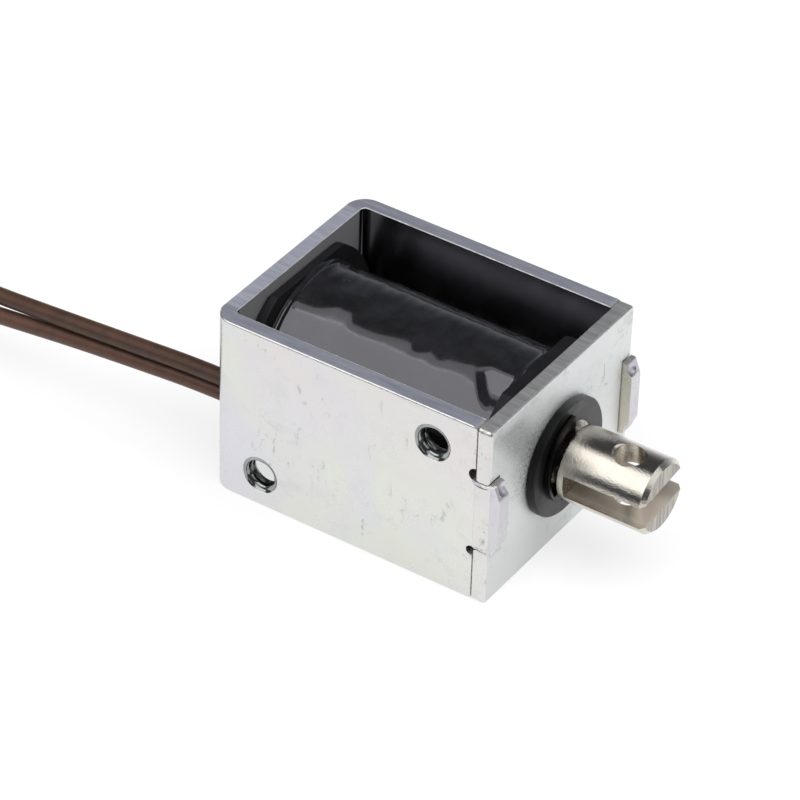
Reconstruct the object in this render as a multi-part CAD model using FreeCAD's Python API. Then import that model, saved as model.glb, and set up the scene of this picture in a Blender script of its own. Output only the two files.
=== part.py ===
# Open-frame push pull solenoid: a bent steel yoke closed by a staked front plate,
# a taped coil on a bobbin, a forked plunger with a rear push pin, and two leads.
# X runs along the plunger and points out of its fork, Z is up, lengths are in mm.
# The origin is under the middle of the solenoid, on the surface that it lies on.
import FreeCAD, Part
import math
import os

Vector = FreeCAD.Vector

# Frame
FRAME_LENGTH = 32.3
FRAME_WIDTH = 25.4
FRAME_HEIGHT = 20.6
SHEET = 1.65
BEND_INNER = 0.6
EDGE_ROLLOVER = 0.22
WALL_END_ROUND = 1.4
WALL_END_RUN = 0.75
PLATE_CORNER = 0.45
PLATE_ROLLOVER = 0.3
PLATE_BACK_CHAMFER = 0.15
SEAT_GAP = 0.05

# Tabs of the side walls, pushed through notches of the front plate and staked
TAB_HEIGHT = 8.0
TAB_STAND = 1.15
NOTCH_GAP = 0.1
NOTCH_ROUND = 0.5
STAKE_SPREAD = 0.25
STAKE_EAR = 0.35
STAKE_SLOPE = 1.0
STAKE_SLOPE_REACH = 1.0
STAKE_LENGTH = 1.5
PUNCH_RADIUS = 0.95
PUNCH_STAND = 1.36
PUNCH_DROP = 0.28
PUNCH_INWARD = 0.3
RELIEF_UPPER = 0.73
RELIEF_LOWER = 0.53
RELIEF_LOWER_BACK = 0.17
RELIEF_LOWER_RISE = 0.13

# M4 mounting holes in the near side wall, before tapping
TAP_RADIUS = 1.65
TAP_CHAMFER = 0.4
TAP_REAR_X = 5.95
TAP_SPACING_X = 19.8
TAP_SPACING_Z = 13.0
TAP_BELOW_AXIS = 0.1

# Plunger
PLUNGER_RADIUS = 3.93
PLUNGER_REACH = 11.6
PLUNGER_TURN = 5.9
TIP_CHAMFER = 0.45
SLOT_WIDTH = 2.72
SLOT_LENGTH = 8.85
CROSS_HOLE_RADIUS = 1.58
CROSS_HOLE_TO_TIP = 3.72
CROSS_HOLE_CHAMFER = 0.15
CONE_LENGTH = 2.0
CONE_TIP_RADIUS = 2.4
CONE_LAND = 0.45
CONE_GAP = 0.3
GROOVE_RADIUS = 3.1
GROOVE_WIDTH = 0.95
GROOVE_CHAMFER = 0.15

# Damping washer and retaining clip in front of the plate
WASHER_RADIUS = 6.25
WASHER_THICKNESS = 0.95
WASHER_ROUND = 0.15
CLIP_THICKNESS = 0.6
CLIP_RADIUS = 5.0
CLIP_OFFSET = 0.6
CLIP_RECESS_RADIUS = 4.15
CLIP_TURN = 48.0
CLIP_MOUTH = 44.0
CLIP_RECESS_START = 117.0
CLIP_RECESS_END = 169.0
RUNNING_GAP = 0.05

# Fixed core, riveted into the back of the yoke, and the pin that runs through it
CORE_LENGTH = 10.35
CORE_SHANK_RADIUS = 3.0
CORE_HEAD_RADIUS = 3.7
CORE_HEAD = 0.8
PIN_RADIUS = 1.5
PIN_REACH = 4.0
PIN_CHAMFER = 0.4
PIN_SEAT = 6.0

# Guide sleeve and bobbin
SLEEVE_WALL = 0.25
FIT_GAP = 0.03
HUB_WALL = 0.8
FLANGE_SIDE_GAP = 0.2
FLANGE_OVER_WRAP = 0.1
FLANGE_EDGE = 0.4
REAR_FLANGE = 1.25
FRONT_FLANGE = 1.75

# Coil, its insulation and the glossy outer wrap
INSULATION = 0.13
WRAP_SIDE_ROOM = 1.65
WRAP_TOP_ROOM = 1.1
WRAP_THICKNESS = 0.63
WRAP_OVER_SPLICE = 0.3
LAYER_GAP = 0.02

# Leads, side by side
LEAD_DIAMETER = 1.75
LEAD_PITCH = 1.8
LEAD_BELOW_AXIS = 0.5
LEAD_HOLE_GAP = 0.03
BOSS_WALL = 0.55
BOSS_STAND = 0.8
BOSS_GAP = 0.05
SPLICE_DIAMETER = 1.6
SPLICE_LENGTH = 9.0
SPLICE_INSET = 1.5
WIRE_DIAMETER = 0.35
WIRE_END_LENGTH = 5.0

# Put-away coil of the leads, lying behind the frame, with lead a inside lead b
COIL_BEHIND = 53.0
COIL_Y = -0.25
COIL_MEAN_A = 8.3
COIL_BASE = 0.3
COIL_TURNS_A = 2.75
COIL_TURNS_B = 2.25
TAIL_LENGTH = 5.5
TAIL_A_HEADING = -139.0
TAIL_B_HEADING = 107.0
STRAND_DIAMETER = 0.95
STRAND_LENGTH = 5.0
TIE_ANGLE = 60.0
TIE_WIDTH = 2.4
TIE_THICKNESS = 0.22
TIE_GAP = 0.04

# Places worked out from the sizes above
AXIS_Z = FRAME_HEIGHT / 2
HALF_WIDTH = FRAME_WIDTH / 2
TOTAL_LENGTH = PIN_REACH + FRAME_LENGTH + PLUNGER_REACH
BACK_X = PIN_REACH - TOTAL_LENGTH / 2
WALL_X = BACK_X + SHEET
FRONT_X = BACK_X + FRAME_LENGTH
PLATE_X = FRONT_X - SHEET
TIP_X = FRONT_X + PLUNGER_REACH
BEND_OUTER = BEND_INNER + SHEET
SLEEVE_INNER = PLUNGER_RADIUS + RUNNING_GAP
SLEEVE_OUTER = SLEEVE_INNER + SLEEVE_WALL
HUB_INNER = SLEEVE_OUTER + FIT_GAP
HUB_OUTER = HUB_INNER + HUB_WALL
REAR_FLANGE_X = WALL_X + SEAT_GAP
WINDOW_X = REAR_FLANGE_X + REAR_FLANGE
FRONT_FLANGE_X = PLATE_X - SEAT_GAP
WINDOW_END_X = FRONT_FLANGE_X - FRONT_FLANGE
CORE_FACE_X = WALL_X + CORE_LENGTH
PLUNGER_BACK_X = CORE_FACE_X + CONE_GAP
WASHER_X = FRONT_X + RUNNING_GAP
CLIP_X = WASHER_X + WASHER_THICKNESS + RUNNING_GAP
FLANGE_REACH = HALF_WIDTH - SHEET - FLANGE_SIDE_GAP
WRAP_RADIUS = min(FLANGE_REACH - WRAP_SIDE_ROOM, AXIS_Z - WRAP_TOP_ROOM)
WRAP_INNER = WRAP_RADIUS - WRAP_THICKNESS
INSULATION_INNER = WRAP_INNER - LAYER_GAP - INSULATION
WINDING_RADIUS = INSULATION_INNER - LAYER_GAP
SPLICE_X = WINDOW_X + SPLICE_INSET
LEAD_RADIUS = LEAD_DIAMETER / 2
LEAD_Y = -WRAP_INNER - LEAD_RADIUS
LEAD_ZS = [AXIS_Z - LEAD_BELOW_AXIS + way * LEAD_PITCH / 2 for way in (1, -1)]
LEAD_START = -SHEET - SEAT_GAP - REAR_FLANGE - SPLICE_INSET
COIL_X = BACK_X - COIL_BEHIND
COIL_MEAN_B = COIL_MEAN_A + LEAD_PITCH
COIL_TOP_A = COIL_BASE + LEAD_DIAMETER + COIL_TURNS_A * LEAD_PITCH
COIL_TOP_B = COIL_BASE + LEAD_DIAMETER + COIL_TURNS_B * LEAD_PITCH
TAIL_Z = COIL_BASE + LEAD_RADIUS

# Routes of the leads from their splices to the coil: distance behind the frame, y, z
ROUTE_A = [
    (LEAD_START, LEAD_Y, LEAD_ZS[0]),
    (2.6, LEAD_Y, LEAD_ZS[0]),
    (11.2, -9.43, 10.02),
    (20.0, -9.35, 9.28),
    (29.5, -9.0, 8.3),
    (39.0, -8.7, 7.75),
    (48.0, -8.6, 7.5),
    (COIL_BEHIND, COIL_Y - COIL_MEAN_A, COIL_TOP_A - LEAD_RADIUS),
]
ROUTE_B = [
    (LEAD_START, LEAD_Y, LEAD_ZS[1]),
    (2.6, LEAD_Y, LEAD_ZS[1]),
    (11.2, -9.47, 8.2),
    (20.0, -9.55, 7.42),
    (30.0, -9.95, 6.48),
    (42.0, -10.3, 5.75),
    (COIL_BEHIND, COIL_Y - COIL_MEAN_B, COIL_TOP_B - LEAD_RADIUS),
]


def box(x0, x1, y0, y1, z0, z1):
    return Part.makeBox(x1 - x0, y1 - y0, z1 - z0, Vector(x0, y0, z0))


def rod_x(x0, x1, radius, y=0.0, z=AXIS_Z):
    return Part.makeCylinder(radius, x1 - x0, Vector(x0, y, z), Vector(1, 0, 0))


def rod_between(start, end, radius):
    along = end.sub(start)
    return Part.makeCylinder(radius, along.Length, start, along)


def tube_x(x0, x1, inner, outer):
    return rod_x(x0, x1, outer).cut(rod_x(x0, x1, inner))


def turned(profile):
    # Solid of revolution about the plunger's axis, from points (x, radius)
    points = [Vector(x, 0, AXIS_Z + radius) for x, radius in profile]
    face = Part.Face(Part.makePolygon(points + points[:1]))
    return face.revolve(Vector(0, 0, AXIS_Z), Vector(1, 0, 0), 360)


def obround_x(x0, x1, radius, y, z_low, z_high):
    middle = box(x0, x1, y - radius, y + radius, z_low, z_high)
    ends = [rod_x(x0, x1, radius, y, z) for z in (z_low, z_high)]
    return middle.multiFuse(ends).removeSplitter()


def edges_along(shape, direction, test):
    # Straight edges that run along one axis and whose middle passes the test
    found = []
    for edge in shape.Edges:
        ends = edge.Vertexes
        if len(ends) < 2:
            continue
        run = ends[1].Point.sub(ends[0].Point)
        if run.Length < 1e-6:
            continue
        if abs(abs(run.normalize().dot(direction)) - 1) < 1e-6 and test(edge.CenterOfMass):
            found.append(edge)
    return found


def save(name, shape):
    shape.exportStep("parts/" + name + ".step")
    print(name, "solids", len(shape.Solids), "valid", shape.isValid(), "volume", round(shape.Volume, 2))


# Steel yoke

def yoke_blank():
    # U-shaped strip with rounded bends and the rolled-over edge of a stamped sheet
    outer = box(BACK_X, PLATE_X, -HALF_WIDTH, HALF_WIDTH, 0, FRAME_HEIGHT)
    bends = edges_along(outer, Vector(0, 0, 1), lambda p: p.x < WALL_X)
    outer = outer.makeFillet(BEND_OUTER, bends)
    rims = []
    for edge in outer.Edges:
        middle = edge.CenterOfMass
        flat = abs(middle.z) < 1e-6 or abs(middle.z - FRAME_HEIGHT) < 1e-6
        if flat and middle.x < PLATE_X - 1e-6:
            rims.append(edge)
    outer = outer.makeFillet(EDGE_ROLLOVER, rims)
    room = box(WALL_X, PLATE_X + SHEET, SHEET - HALF_WIDTH, HALF_WIDTH - SHEET, -1, FRAME_HEIGHT + 1)
    corners = edges_along(room, Vector(0, 0, 1), lambda p: p.x < WALL_X + SHEET)
    return outer.cut(room.makeFillet(BEND_INNER, corners))


def wall_end(level, way):
    # What the rounded corner takes off both side walls at the upper (way 1) or lower end (way -1)
    start = PLATE_X - WALL_END_RUN
    inner = level - way * WALL_END_ROUND
    low, high = sorted((inner, level + way * SHEET))
    corner = box(start, PLATE_X + SHEET, -FRAME_WIDTH, FRAME_WIDTH, low, high)
    return corner.cut(Part.makeCylinder(WALL_END_ROUND, 2 * FRAME_WIDTH, Vector(start, -FRAME_WIDTH, inner),
                                        Vector(0, 1, 0)))


def prism_y(upper, lower, y, depth):
    # Solid between two end outlines that run the same way, extruded along Y
    outline = upper + [Part.LineSegment(last_point(upper), last_point(lower)).toShape()] + lower
    outline.append(Part.LineSegment(first_point(upper), first_point(lower)).toShape())
    face = Part.Face(Part.Wire(Part.__sortEdges__(outline)))
    face.translate(Vector(0, y, 0))
    return face.extrude(Vector(0, depth, 0))


def first_point(edges):
    return edges[0].Curve.value(edges[0].FirstParameter)


def last_point(edges):
    return edges[-1].Curve.value(edges[-1].LastParameter)


def tab(side):
    # Tab of one side wall. Its ends wrap round the notch's rounded mouth and are punched
    # over the plate, which leaves a slope with a dimple at each end.
    y = min(side * HALF_WIDTH, side * (HALF_WIDTH - SHEET))
    blank = prism_y(tab_end(1), tab_end(-1), y, SHEET)
    return blank.cut(Part.makeCompound([punch(1, side), punch(-1, side)]))


def tab_end(way):
    # Outline of the tab's upper end (way 1) or lower end (way -1), from the wall to the end face
    def at(forward, outward):
        return Vector(FRONT_X + forward, 0, AXIS_Z + way * (TAB_HEIGHT / 2 + outward))

    reach = NOTCH_ROUND + NOTCH_GAP
    spread = STAKE_SPREAD
    ear = STAKE_EAR
    shoulder = STAKE_EAR + STAKE_SPREAD
    turn = math.asin((reach - spread) / reach)
    ear_foot = at(reach * math.cos(turn) - NOTCH_ROUND, spread)
    halfway = math.radians(-45) - turn / 2
    bend = at(reach * math.cos(halfway) - NOTCH_ROUND, reach * (1 + math.sin(halfway)))
    drop = STAKE_LENGTH - STAKE_SLOPE
    back = TAB_STAND - STAKE_SLOPE_REACH
    roll = (drop ** 2 + back ** 2) / (2 * back)
    half = math.asin(drop / roll) / 2
    crest = at(TAB_STAND - roll * (1 - math.cos(half)), roll * math.sin(half) - STAKE_LENGTH)
    return [
        Part.LineSegment(at(-2 * SHEET, 0), at(-NOTCH_ROUND, 0)).toShape(),
        Part.Arc(at(-NOTCH_ROUND, 0), bend, ear_foot).toShape(),
        Part.LineSegment(ear_foot, at(ear, spread)).toShape(),
        Part.Arc(at(ear, spread), at(ear + spread * math.sqrt(0.5), spread * math.sqrt(0.5)),
                 at(shoulder, 0)).toShape(),
        Part.LineSegment(at(shoulder, 0), at(STAKE_SLOPE_REACH, -STAKE_SLOPE)).toShape(),
        Part.Arc(at(STAKE_SLOPE_REACH, -STAKE_SLOPE), crest, at(TAB_STAND, -STAKE_LENGTH)).toShape(),
    ]


def punch(way, side):
    # Ball end of the punch that spreads one end of a tab
    return Part.makeSphere(PUNCH_RADIUS, Vector(FRONT_X + PUNCH_STAND,
                                                side * (HALF_WIDTH - SHEET / 2 - PUNCH_INWARD),
                                                AXIS_Z + way * (TAB_HEIGHT / 2 - PUNCH_DROP)))


def tapped_hole(x, z):
    # Drilled hole with a countersink on the outer face
    hole = Part.makeCylinder(TAP_RADIUS, SHEET + 2, Vector(x, -HALF_WIDTH - 1, z), Vector(0, 1, 0))
    mouth = Part.makeCone(TAP_RADIUS + TAP_CHAMFER, TAP_RADIUS, TAP_CHAMFER,
                          Vector(x, -HALF_WIDTH, z), Vector(0, 1, 0))
    return hole.fuse(mouth)


def yoke():
    blank = yoke_blank().cut(Part.makeCompound([wall_end(FRAME_HEIGHT, 1), wall_end(0, -1)]))
    body = blank.multiFuse([tab(-1), tab(1)]).removeSplitter()
    cuts = []
    for x, z in tap_places():
        cuts.append(tapped_hole(x, z))
    upper = AXIS_Z + TAB_HEIGHT / 2 + RELIEF_UPPER
    lower = AXIS_Z - TAB_HEIGHT / 2 - RELIEF_LOWER + RELIEF_LOWER_RISE
    for side in (-1, 1):
        y = side * HALF_WIDTH - 2 * SHEET
        cuts.append(Part.makeCylinder(RELIEF_UPPER, 4 * SHEET, Vector(PLATE_X, y, upper), Vector(0, 1, 0)))
        cuts.append(Part.makeCylinder(RELIEF_LOWER, 4 * SHEET, Vector(PLATE_X - RELIEF_LOWER_BACK, y, lower),
                                      Vector(0, 1, 0)))
    cuts.append(rod_x(BACK_X - 1, WALL_X + 1, CORE_SHANK_RADIUS))
    cuts.append(obround_x(BACK_X - 1, WALL_X + 1, LEAD_RADIUS + BOSS_WALL + BOSS_GAP,
                          LEAD_Y, LEAD_ZS[1], LEAD_ZS[0]))
    return body.cut(Part.makeCompound(cuts))


def tap_places():
    rear_x = BACK_X + TAP_REAR_X
    rear_z = AXIS_Z - TAP_BELOW_AXIS - TAP_SPACING_Z / 2
    return [(rear_x, rear_z), (rear_x + TAP_SPACING_X, rear_z + TAP_SPACING_Z)]


def notch_end(way):
    # Outline of the notch's upper end (way 1) or lower end (way -1), rounded at both faces
    def at(forward, outward):
        return Vector(FRONT_X + forward, 0, AXIS_Z + way * (TAB_HEIGHT / 2 + NOTCH_GAP + outward))

    corner = NOTCH_ROUND * (1 - math.sqrt(0.5))
    return [
        Part.LineSegment(at(-2 * SHEET, NOTCH_ROUND), at(-SHEET, NOTCH_ROUND)).toShape(),
        Part.Arc(at(-SHEET, NOTCH_ROUND), at(corner - SHEET, corner), at(NOTCH_ROUND - SHEET, 0)).toShape(),
        Part.LineSegment(at(NOTCH_ROUND - SHEET, 0), at(-NOTCH_ROUND, 0)).toShape(),
        Part.Arc(at(-NOTCH_ROUND, 0), at(-corner, corner), at(0, NOTCH_ROUND)).toShape(),
        Part.LineSegment(at(0, NOTCH_ROUND), at(SHEET, NOTCH_ROUND)).toShape(),
    ]


def front_plate():
    plate = box(PLATE_X, FRONT_X, -HALF_WIDTH, HALF_WIDTH, 0, FRAME_HEIGHT)
    plate = plate.makeFillet(PLATE_CORNER, edges_along(plate, Vector(1, 0, 0), lambda p: True))
    rim = [edge for edge in plate.Edges if abs(edge.CenterOfMass.x - FRONT_X) < 1e-6]
    plate = plate.makeFillet(PLATE_ROLLOVER, rim)
    back = [edge for edge in plate.Edges if abs(edge.CenterOfMass.x - PLATE_X) < 1e-6]
    plate = plate.makeChamfer(PLATE_BACK_CHAMFER, back)
    cuts = [rod_x(PLATE_X - 1, FRONT_X + 1, SLEEVE_OUTER + FIT_GAP)]
    depth = SHEET + NOTCH_GAP
    for y in (-HALF_WIDTH - depth, HALF_WIDTH - depth):
        cuts.append(prism_y(notch_end(1), notch_end(-1), y, 2 * depth))
    return plate.cut(Part.makeCompound(cuts))


# Fixed core and push pin

def core():
    body_radius = SLEEVE_INNER - FIT_GAP
    bore = PIN_RADIUS + RUNNING_GAP
    return turned([
        (BACK_X - CORE_HEAD, bore),
        (BACK_X - CORE_HEAD, CORE_HEAD_RADIUS - CORE_HEAD / 2),
        (BACK_X - CORE_HEAD / 2, CORE_HEAD_RADIUS),
        (BACK_X, CORE_HEAD_RADIUS),
        (BACK_X, CORE_SHANK_RADIUS),
        (WALL_X, CORE_SHANK_RADIUS),
        (WALL_X, body_radius),
        (CORE_FACE_X, body_radius),
        (CORE_FACE_X, PLUNGER_RADIUS - CONE_LAND),
        (CORE_FACE_X - CONE_LENGTH, CONE_TIP_RADIUS),
        (CORE_FACE_X - CONE_LENGTH, bore),
    ])


def push_pin():
    end = PLUNGER_BACK_X - CONE_LENGTH + PIN_SEAT
    start = BACK_X - PIN_REACH
    return turned([
        (start, 0),
        (start, PIN_RADIUS - PIN_CHAMFER),
        (start + PIN_CHAMFER, PIN_RADIUS),
        (end, PIN_RADIUS),
        (end, 0),
    ])


# Plunger with its clip and washer

def plunger():
    tail = PLUNGER_BACK_X - CONE_LENGTH
    groove = CLIP_X - RUNNING_GAP
    shoulder = groove + GROOVE_WIDTH
    body = turned([
        (tail, PIN_RADIUS),
        (tail, CONE_TIP_RADIUS),
        (PLUNGER_BACK_X, PLUNGER_RADIUS - CONE_LAND),
        (PLUNGER_BACK_X, PLUNGER_RADIUS),
        (groove, PLUNGER_RADIUS),
        (groove, GROOVE_RADIUS),
        (shoulder, GROOVE_RADIUS),
        (shoulder, PLUNGER_RADIUS - GROOVE_CHAMFER),
        (shoulder + GROOVE_CHAMFER, PLUNGER_RADIUS),
        (TIP_X - TIP_CHAMFER, PLUNGER_RADIUS),
        (TIP_X, PLUNGER_RADIUS - TIP_CHAMFER),
        (TIP_X, 0),
        (tail + PIN_SEAT, 0),
        (tail + PIN_SEAT, PIN_RADIUS),
    ])
    reach = 2 * PLUNGER_RADIUS
    slot = box(TIP_X - SLOT_LENGTH, TIP_X + 1, -reach, reach,
               AXIS_Z - SLOT_WIDTH / 2, AXIS_Z + SLOT_WIDTH / 2)
    hole_x = TIP_X - CROSS_HOLE_TO_TIP
    hole = Part.makeCylinder(CROSS_HOLE_RADIUS, 2 * reach, Vector(hole_x, 0, AXIS_Z - reach))
    cuts = [slot, hole]
    flare = math.sqrt(PLUNGER_RADIUS ** 2 - CROSS_HOLE_RADIUS ** 2)
    for way in (-1, 1):
        cuts.append(Part.makeCone(CROSS_HOLE_RADIUS, CROSS_HOLE_RADIUS + 3 * CROSS_HOLE_CHAMFER,
                                  3 * CROSS_HOLE_CHAMFER,
                                  Vector(hole_x, 0, AXIS_Z + way * (flare + CROSS_HOLE_CHAMFER)),
                                  Vector(0, 0, way)))
    return about_axis(body.cut(Part.makeCompound(cuts)), PLUNGER_TURN)


def about_axis(shape, degrees):
    # Turn about the plunger's axis, from +Y towards +Z
    shape.rotate(Vector(0, 0, AXIS_Z), Vector(1, 0, 0), degrees)
    return shape


def washer():
    start = WASHER_X
    end = WASHER_X + WASHER_THICKNESS
    inner = PLUNGER_RADIUS + RUNNING_GAP
    return turned([
        (start, inner),
        (start, WASHER_RADIUS - WASHER_ROUND),
        (start + WASHER_ROUND, WASHER_RADIUS),
        (end - WASHER_ROUND, WASHER_RADIUS),
        (end, WASHER_RADIUS - WASHER_ROUND),
        (end, inner),
    ])


def sector(x0, x1, radius, start, end):
    # Wedge about the axis between two angles, measured from +Y towards +Z
    steps = 8
    points = [Vector(x0, 0, AXIS_Z)]
    for i in range(steps + 1):
        angle = math.radians(start + (end - start) * i / steps)
        points.append(Vector(x0, radius * math.cos(angle), AXIS_Z + radius * math.sin(angle)))
    return Part.Face(Part.makePolygon(points + points[:1])).extrude(Vector(x1 - x0, 0, 0))


def clip():
    # Snap-on clip: an eccentric ring, open at its mouth, with three lugs that grip the groove
    x0 = CLIP_X
    x1 = CLIP_X + CLIP_THICKNESS
    body = rod_x(x0, x1, CLIP_RADIUS, CLIP_OFFSET).cut(rod_x(x0, x1, GROOVE_RADIUS + FIT_GAP))
    body = body.cut(sector(x0, x1, 2 * CLIP_RADIUS, -CLIP_MOUTH, CLIP_MOUTH))
    for way in (-1, 1):
        first, last = sorted((way * CLIP_RECESS_START, way * CLIP_RECESS_END))
        wedge = sector(x0, x1, 2 * CLIP_RADIUS, first, last)
        body = body.cut(wedge.common(rod_x(x0, x1, CLIP_RECESS_RADIUS)))
    return about_axis(body, CLIP_TURN)


# Sleeve, bobbin and coil

def sleeve():
    return tube_x(WALL_X + FIT_GAP, FRONT_X, SLEEVE_INNER, SLEEVE_OUTER)


def flange(x0, x1, outer_x):
    # Disc with a flat top and bottom, chamfered where it meets the steel
    half = WRAP_RADIUS + FLANGE_OVER_WRAP
    flats = box(x0, x1, -HALF_WIDTH, HALF_WIDTH, AXIS_Z - half, AXIS_Z + half)
    body = rod_x(x0, x1, FLANGE_REACH).common(flats)
    rim = [edge for edge in body.Edges if abs(edge.CenterOfMass.x - outer_x) < 1e-6]
    return body.makeChamfer(FLANGE_EDGE, rim)


def bobbin():
    hub = rod_x(REAR_FLANGE_X, FRONT_FLANGE_X, HUB_OUTER)
    boss = obround_x(BACK_X - BOSS_STAND, REAR_FLANGE_X + REAR_FLANGE / 2, LEAD_RADIUS + BOSS_WALL,
                     LEAD_Y, LEAD_ZS[1], LEAD_ZS[0])
    rear = flange(REAR_FLANGE_X, WINDOW_X, REAR_FLANGE_X)
    front = flange(WINDOW_END_X, FRONT_FLANGE_X, FRONT_FLANGE_X)
    body = hub.multiFuse([rear, front, boss])
    cuts = [rod_x(BACK_X, FRONT_X, HUB_INNER)]
    for z in LEAD_ZS:
        cuts.append(rod_x(BACK_X - 2 * BOSS_STAND, WINDOW_X, LEAD_RADIUS + LEAD_HOLE_GAP, LEAD_Y, z))
    return body.cut(Part.makeCompound(cuts)).removeSplitter()


def winding():
    return tube_x(WINDOW_X + SEAT_GAP, WINDOW_END_X - SEAT_GAP, HUB_OUTER + LAYER_GAP, WINDING_RADIUS)


def insulation():
    outer = INSULATION_INNER + INSULATION
    return tube_x(WINDOW_X + SEAT_GAP, WINDOW_END_X - SEAT_GAP, INSULATION_INNER, outer)


def on_insulation(radius):
    # Places (y, z) where two rods of this radius lie on the insulation, at the leads' heights
    reach = WRAP_INNER - LAYER_GAP + radius
    return [(-math.sqrt(reach ** 2 - (z - AXIS_Z) ** 2), z) for z in LEAD_ZS]


def splices(extra=0.0):
    x1 = SPLICE_X + SPLICE_LENGTH
    radius = SPLICE_DIAMETER / 2
    return [rod_x(SPLICE_X, x1 + extra, radius + extra, y, z) for y, z in on_insulation(radius)]


def wire_ends(extra=0.0):
    x0 = SPLICE_X + SPLICE_LENGTH
    radius = WIRE_DIAMETER / 2
    return [rod_x(x0, x0 + WIRE_END_LENGTH + extra, radius + extra, y, z) for y, z in on_insulation(radius)]


def wrap():
    # Round wrap with a low hump where it passes over the leads and their splices
    x0 = WINDOW_X + SEAT_GAP
    x1 = WINDOW_END_X - SEAT_GAP
    hump = LEAD_RADIUS + LAYER_GAP
    hump_end = SPLICE_X + SPLICE_LENGTH + hump
    over = obround_x(x0, hump_end + WRAP_OVER_SPLICE, hump + WRAP_OVER_SPLICE, LEAD_Y, LEAD_ZS[1], LEAD_ZS[0])
    under = obround_x(x0, hump_end, hump, LEAD_Y, LEAD_ZS[1], LEAD_ZS[0])
    inside = [rod_x(x0, x1, WRAP_INNER), under] + splices(LAYER_GAP) + wire_ends(LAYER_GAP)
    body = rod_x(x0, x1, WRAP_RADIUS).fuse(over)
    return body.cut(Part.makeCompound(inside)).removeSplitter()


# Leads

def lead_path(route):
    # Straight runs joined by tangent arcs, each as large as its two runs allow
    points = [Vector(BACK_X - behind, y, z) for behind, y, z in route]
    edges = []
    radii = []
    start = points[0]
    for before, corner, after in zip(points, points[1:], points[2:]):
        run_in = corner.sub(before)
        run_out = after.sub(corner)
        way_in = Vector(run_in).normalize()
        way_out = Vector(run_out).normalize()
        half_turn = way_in.getAngle(way_out) / 2
        setback = 0.45 * min(run_in.Length, run_out.Length)
        radius = setback / math.tan(half_turn)
        entry = corner.sub(way_in * setback)
        leave = corner.add(way_out * setback)
        inward = way_out.sub(way_in).normalize()
        centre = corner.add(inward * (radius / math.cos(half_turn)))
        middle = centre.sub(inward * radius)
        edges.append(Part.LineSegment(start, entry).toShape())
        edges.append(Part.Arc(entry, middle, leave).toShape())
        radii.append(round(radius, 1))
        start = leave
    edges.append(Part.LineSegment(start, points[-1]).toShape())
    print("radii", radii)
    return Part.Wire(edges)


def lead_tube(route):
    path = lead_path(route)
    first = path.Edges[0]
    way = first.tangentAt(first.FirstParameter)
    ring = Part.Wire(Part.makeCircle(LEAD_RADIUS, first.Vertexes[0].Point, way))
    tube = path.makePipeShell([ring], True, True)
    section = math.pi * LEAD_RADIUS ** 2
    print("length", round(path.Length, 2), "volume over section times length",
          round(tube.Volume / (section * path.Length), 4))
    return tube


def coil_ring(mean, top):
    inner = mean - LEAD_RADIUS
    base = Vector(COIL_X, COIL_Y, COIL_BASE)
    outer = Part.makeCylinder(mean + LEAD_RADIUS, top - COIL_BASE, base)
    return outer.cut(Part.makeCylinder(inner, top - COIL_BASE, base))


def tail_points(mean, angle, heading):
    # Start of a lead's tail on its ring, its end, and the end of its bare strands
    around = math.radians(angle)
    ahead = math.radians(heading)
    start = Vector(COIL_X + mean * math.cos(around), COIL_Y + mean * math.sin(around), TAIL_Z)
    way = Vector(math.cos(ahead), math.sin(ahead), 0)
    end = start.add(way * TAIL_LENGTH)
    return start, end, end.add(way * STRAND_LENGTH)


def lead(route, tail):
    # The free stretch and the tail, each ending inside the lead's own ring
    start, end, _ = tail
    return Part.makeCompound([lead_tube(route), rod_between(start, end, LEAD_RADIUS)])


def strands(tail):
    _, start, end = tail
    return rod_between(start, end, STRAND_DIAMETER / 2)


def tie():
    # Flat band looped round both rings of the coil
    hole = COIL_MEAN_A - LEAD_RADIUS
    inner = math.sqrt(hole ** 2 - (TIE_WIDTH / 2) ** 2) - TIE_GAP
    outer = COIL_MEAN_B + LEAD_RADIUS + TIE_GAP
    low = COIL_BASE - TIE_GAP
    high = COIL_TOP_A + TIE_GAP
    wall = TIE_THICKNESS
    band = box(inner - wall, outer + wall, -TIE_WIDTH / 2, TIE_WIDTH / 2, low - wall, high + wall)
    band = band.makeFillet(wall, edges_along(band, Vector(0, 1, 0), lambda p: True))
    band = band.cut(box(inner, outer, -TIE_WIDTH, TIE_WIDTH, low, high))
    band.rotate(Vector(0, 0, 0), Vector(0, 0, 1), TIE_ANGLE)
    band.translate(Vector(COIL_X, COIL_Y, 0))
    return band


os.makedirs("parts", exist_ok=True)

save("yoke", yoke())
save("front_plate", front_plate())
save("fixed_core", core())
save("push_pin", push_pin())
save("plunger", plunger())
save("damping_washer", washer())
save("retaining_clip", clip())
save("guide_sleeve", sleeve())
save("bobbin", bobbin())
save("winding", winding())
save("layer_insulation", insulation())
save("coil_wrap", wrap())
save("winding_ends", Part.makeCompound(wire_ends()))
for name, splice in zip(("splice_a", "splice_b"), splices()):
    save(name, splice)

ring_a = coil_ring(COIL_MEAN_A, COIL_TOP_A)
ring_b = coil_ring(COIL_MEAN_B, COIL_TOP_B)
tail_a = tail_points(COIL_MEAN_A, 0.0, TAIL_A_HEADING)
tail_b = tail_points(COIL_MEAN_B, 180.0, TAIL_B_HEADING)
save("lead_a", lead(ROUTE_A, tail_a))
save("lead_b", lead(ROUTE_B, tail_b))
save("lead_a_coil", ring_a)
save("lead_b_coil", ring_b)
save("lead_a_strands", strands(tail_a))
save("lead_b_strands", strands(tail_b))
save("coil_tie", tie())
print("leads", round(COIL_TURNS_A * 2 * math.pi * COIL_MEAN_A, 1), round(COIL_TURNS_B * 2 * math.pi * COIL_MEAN_B, 1))
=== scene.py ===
import math
import random

import bmesh
import bpy
from mathutils import Matrix, Vector

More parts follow.
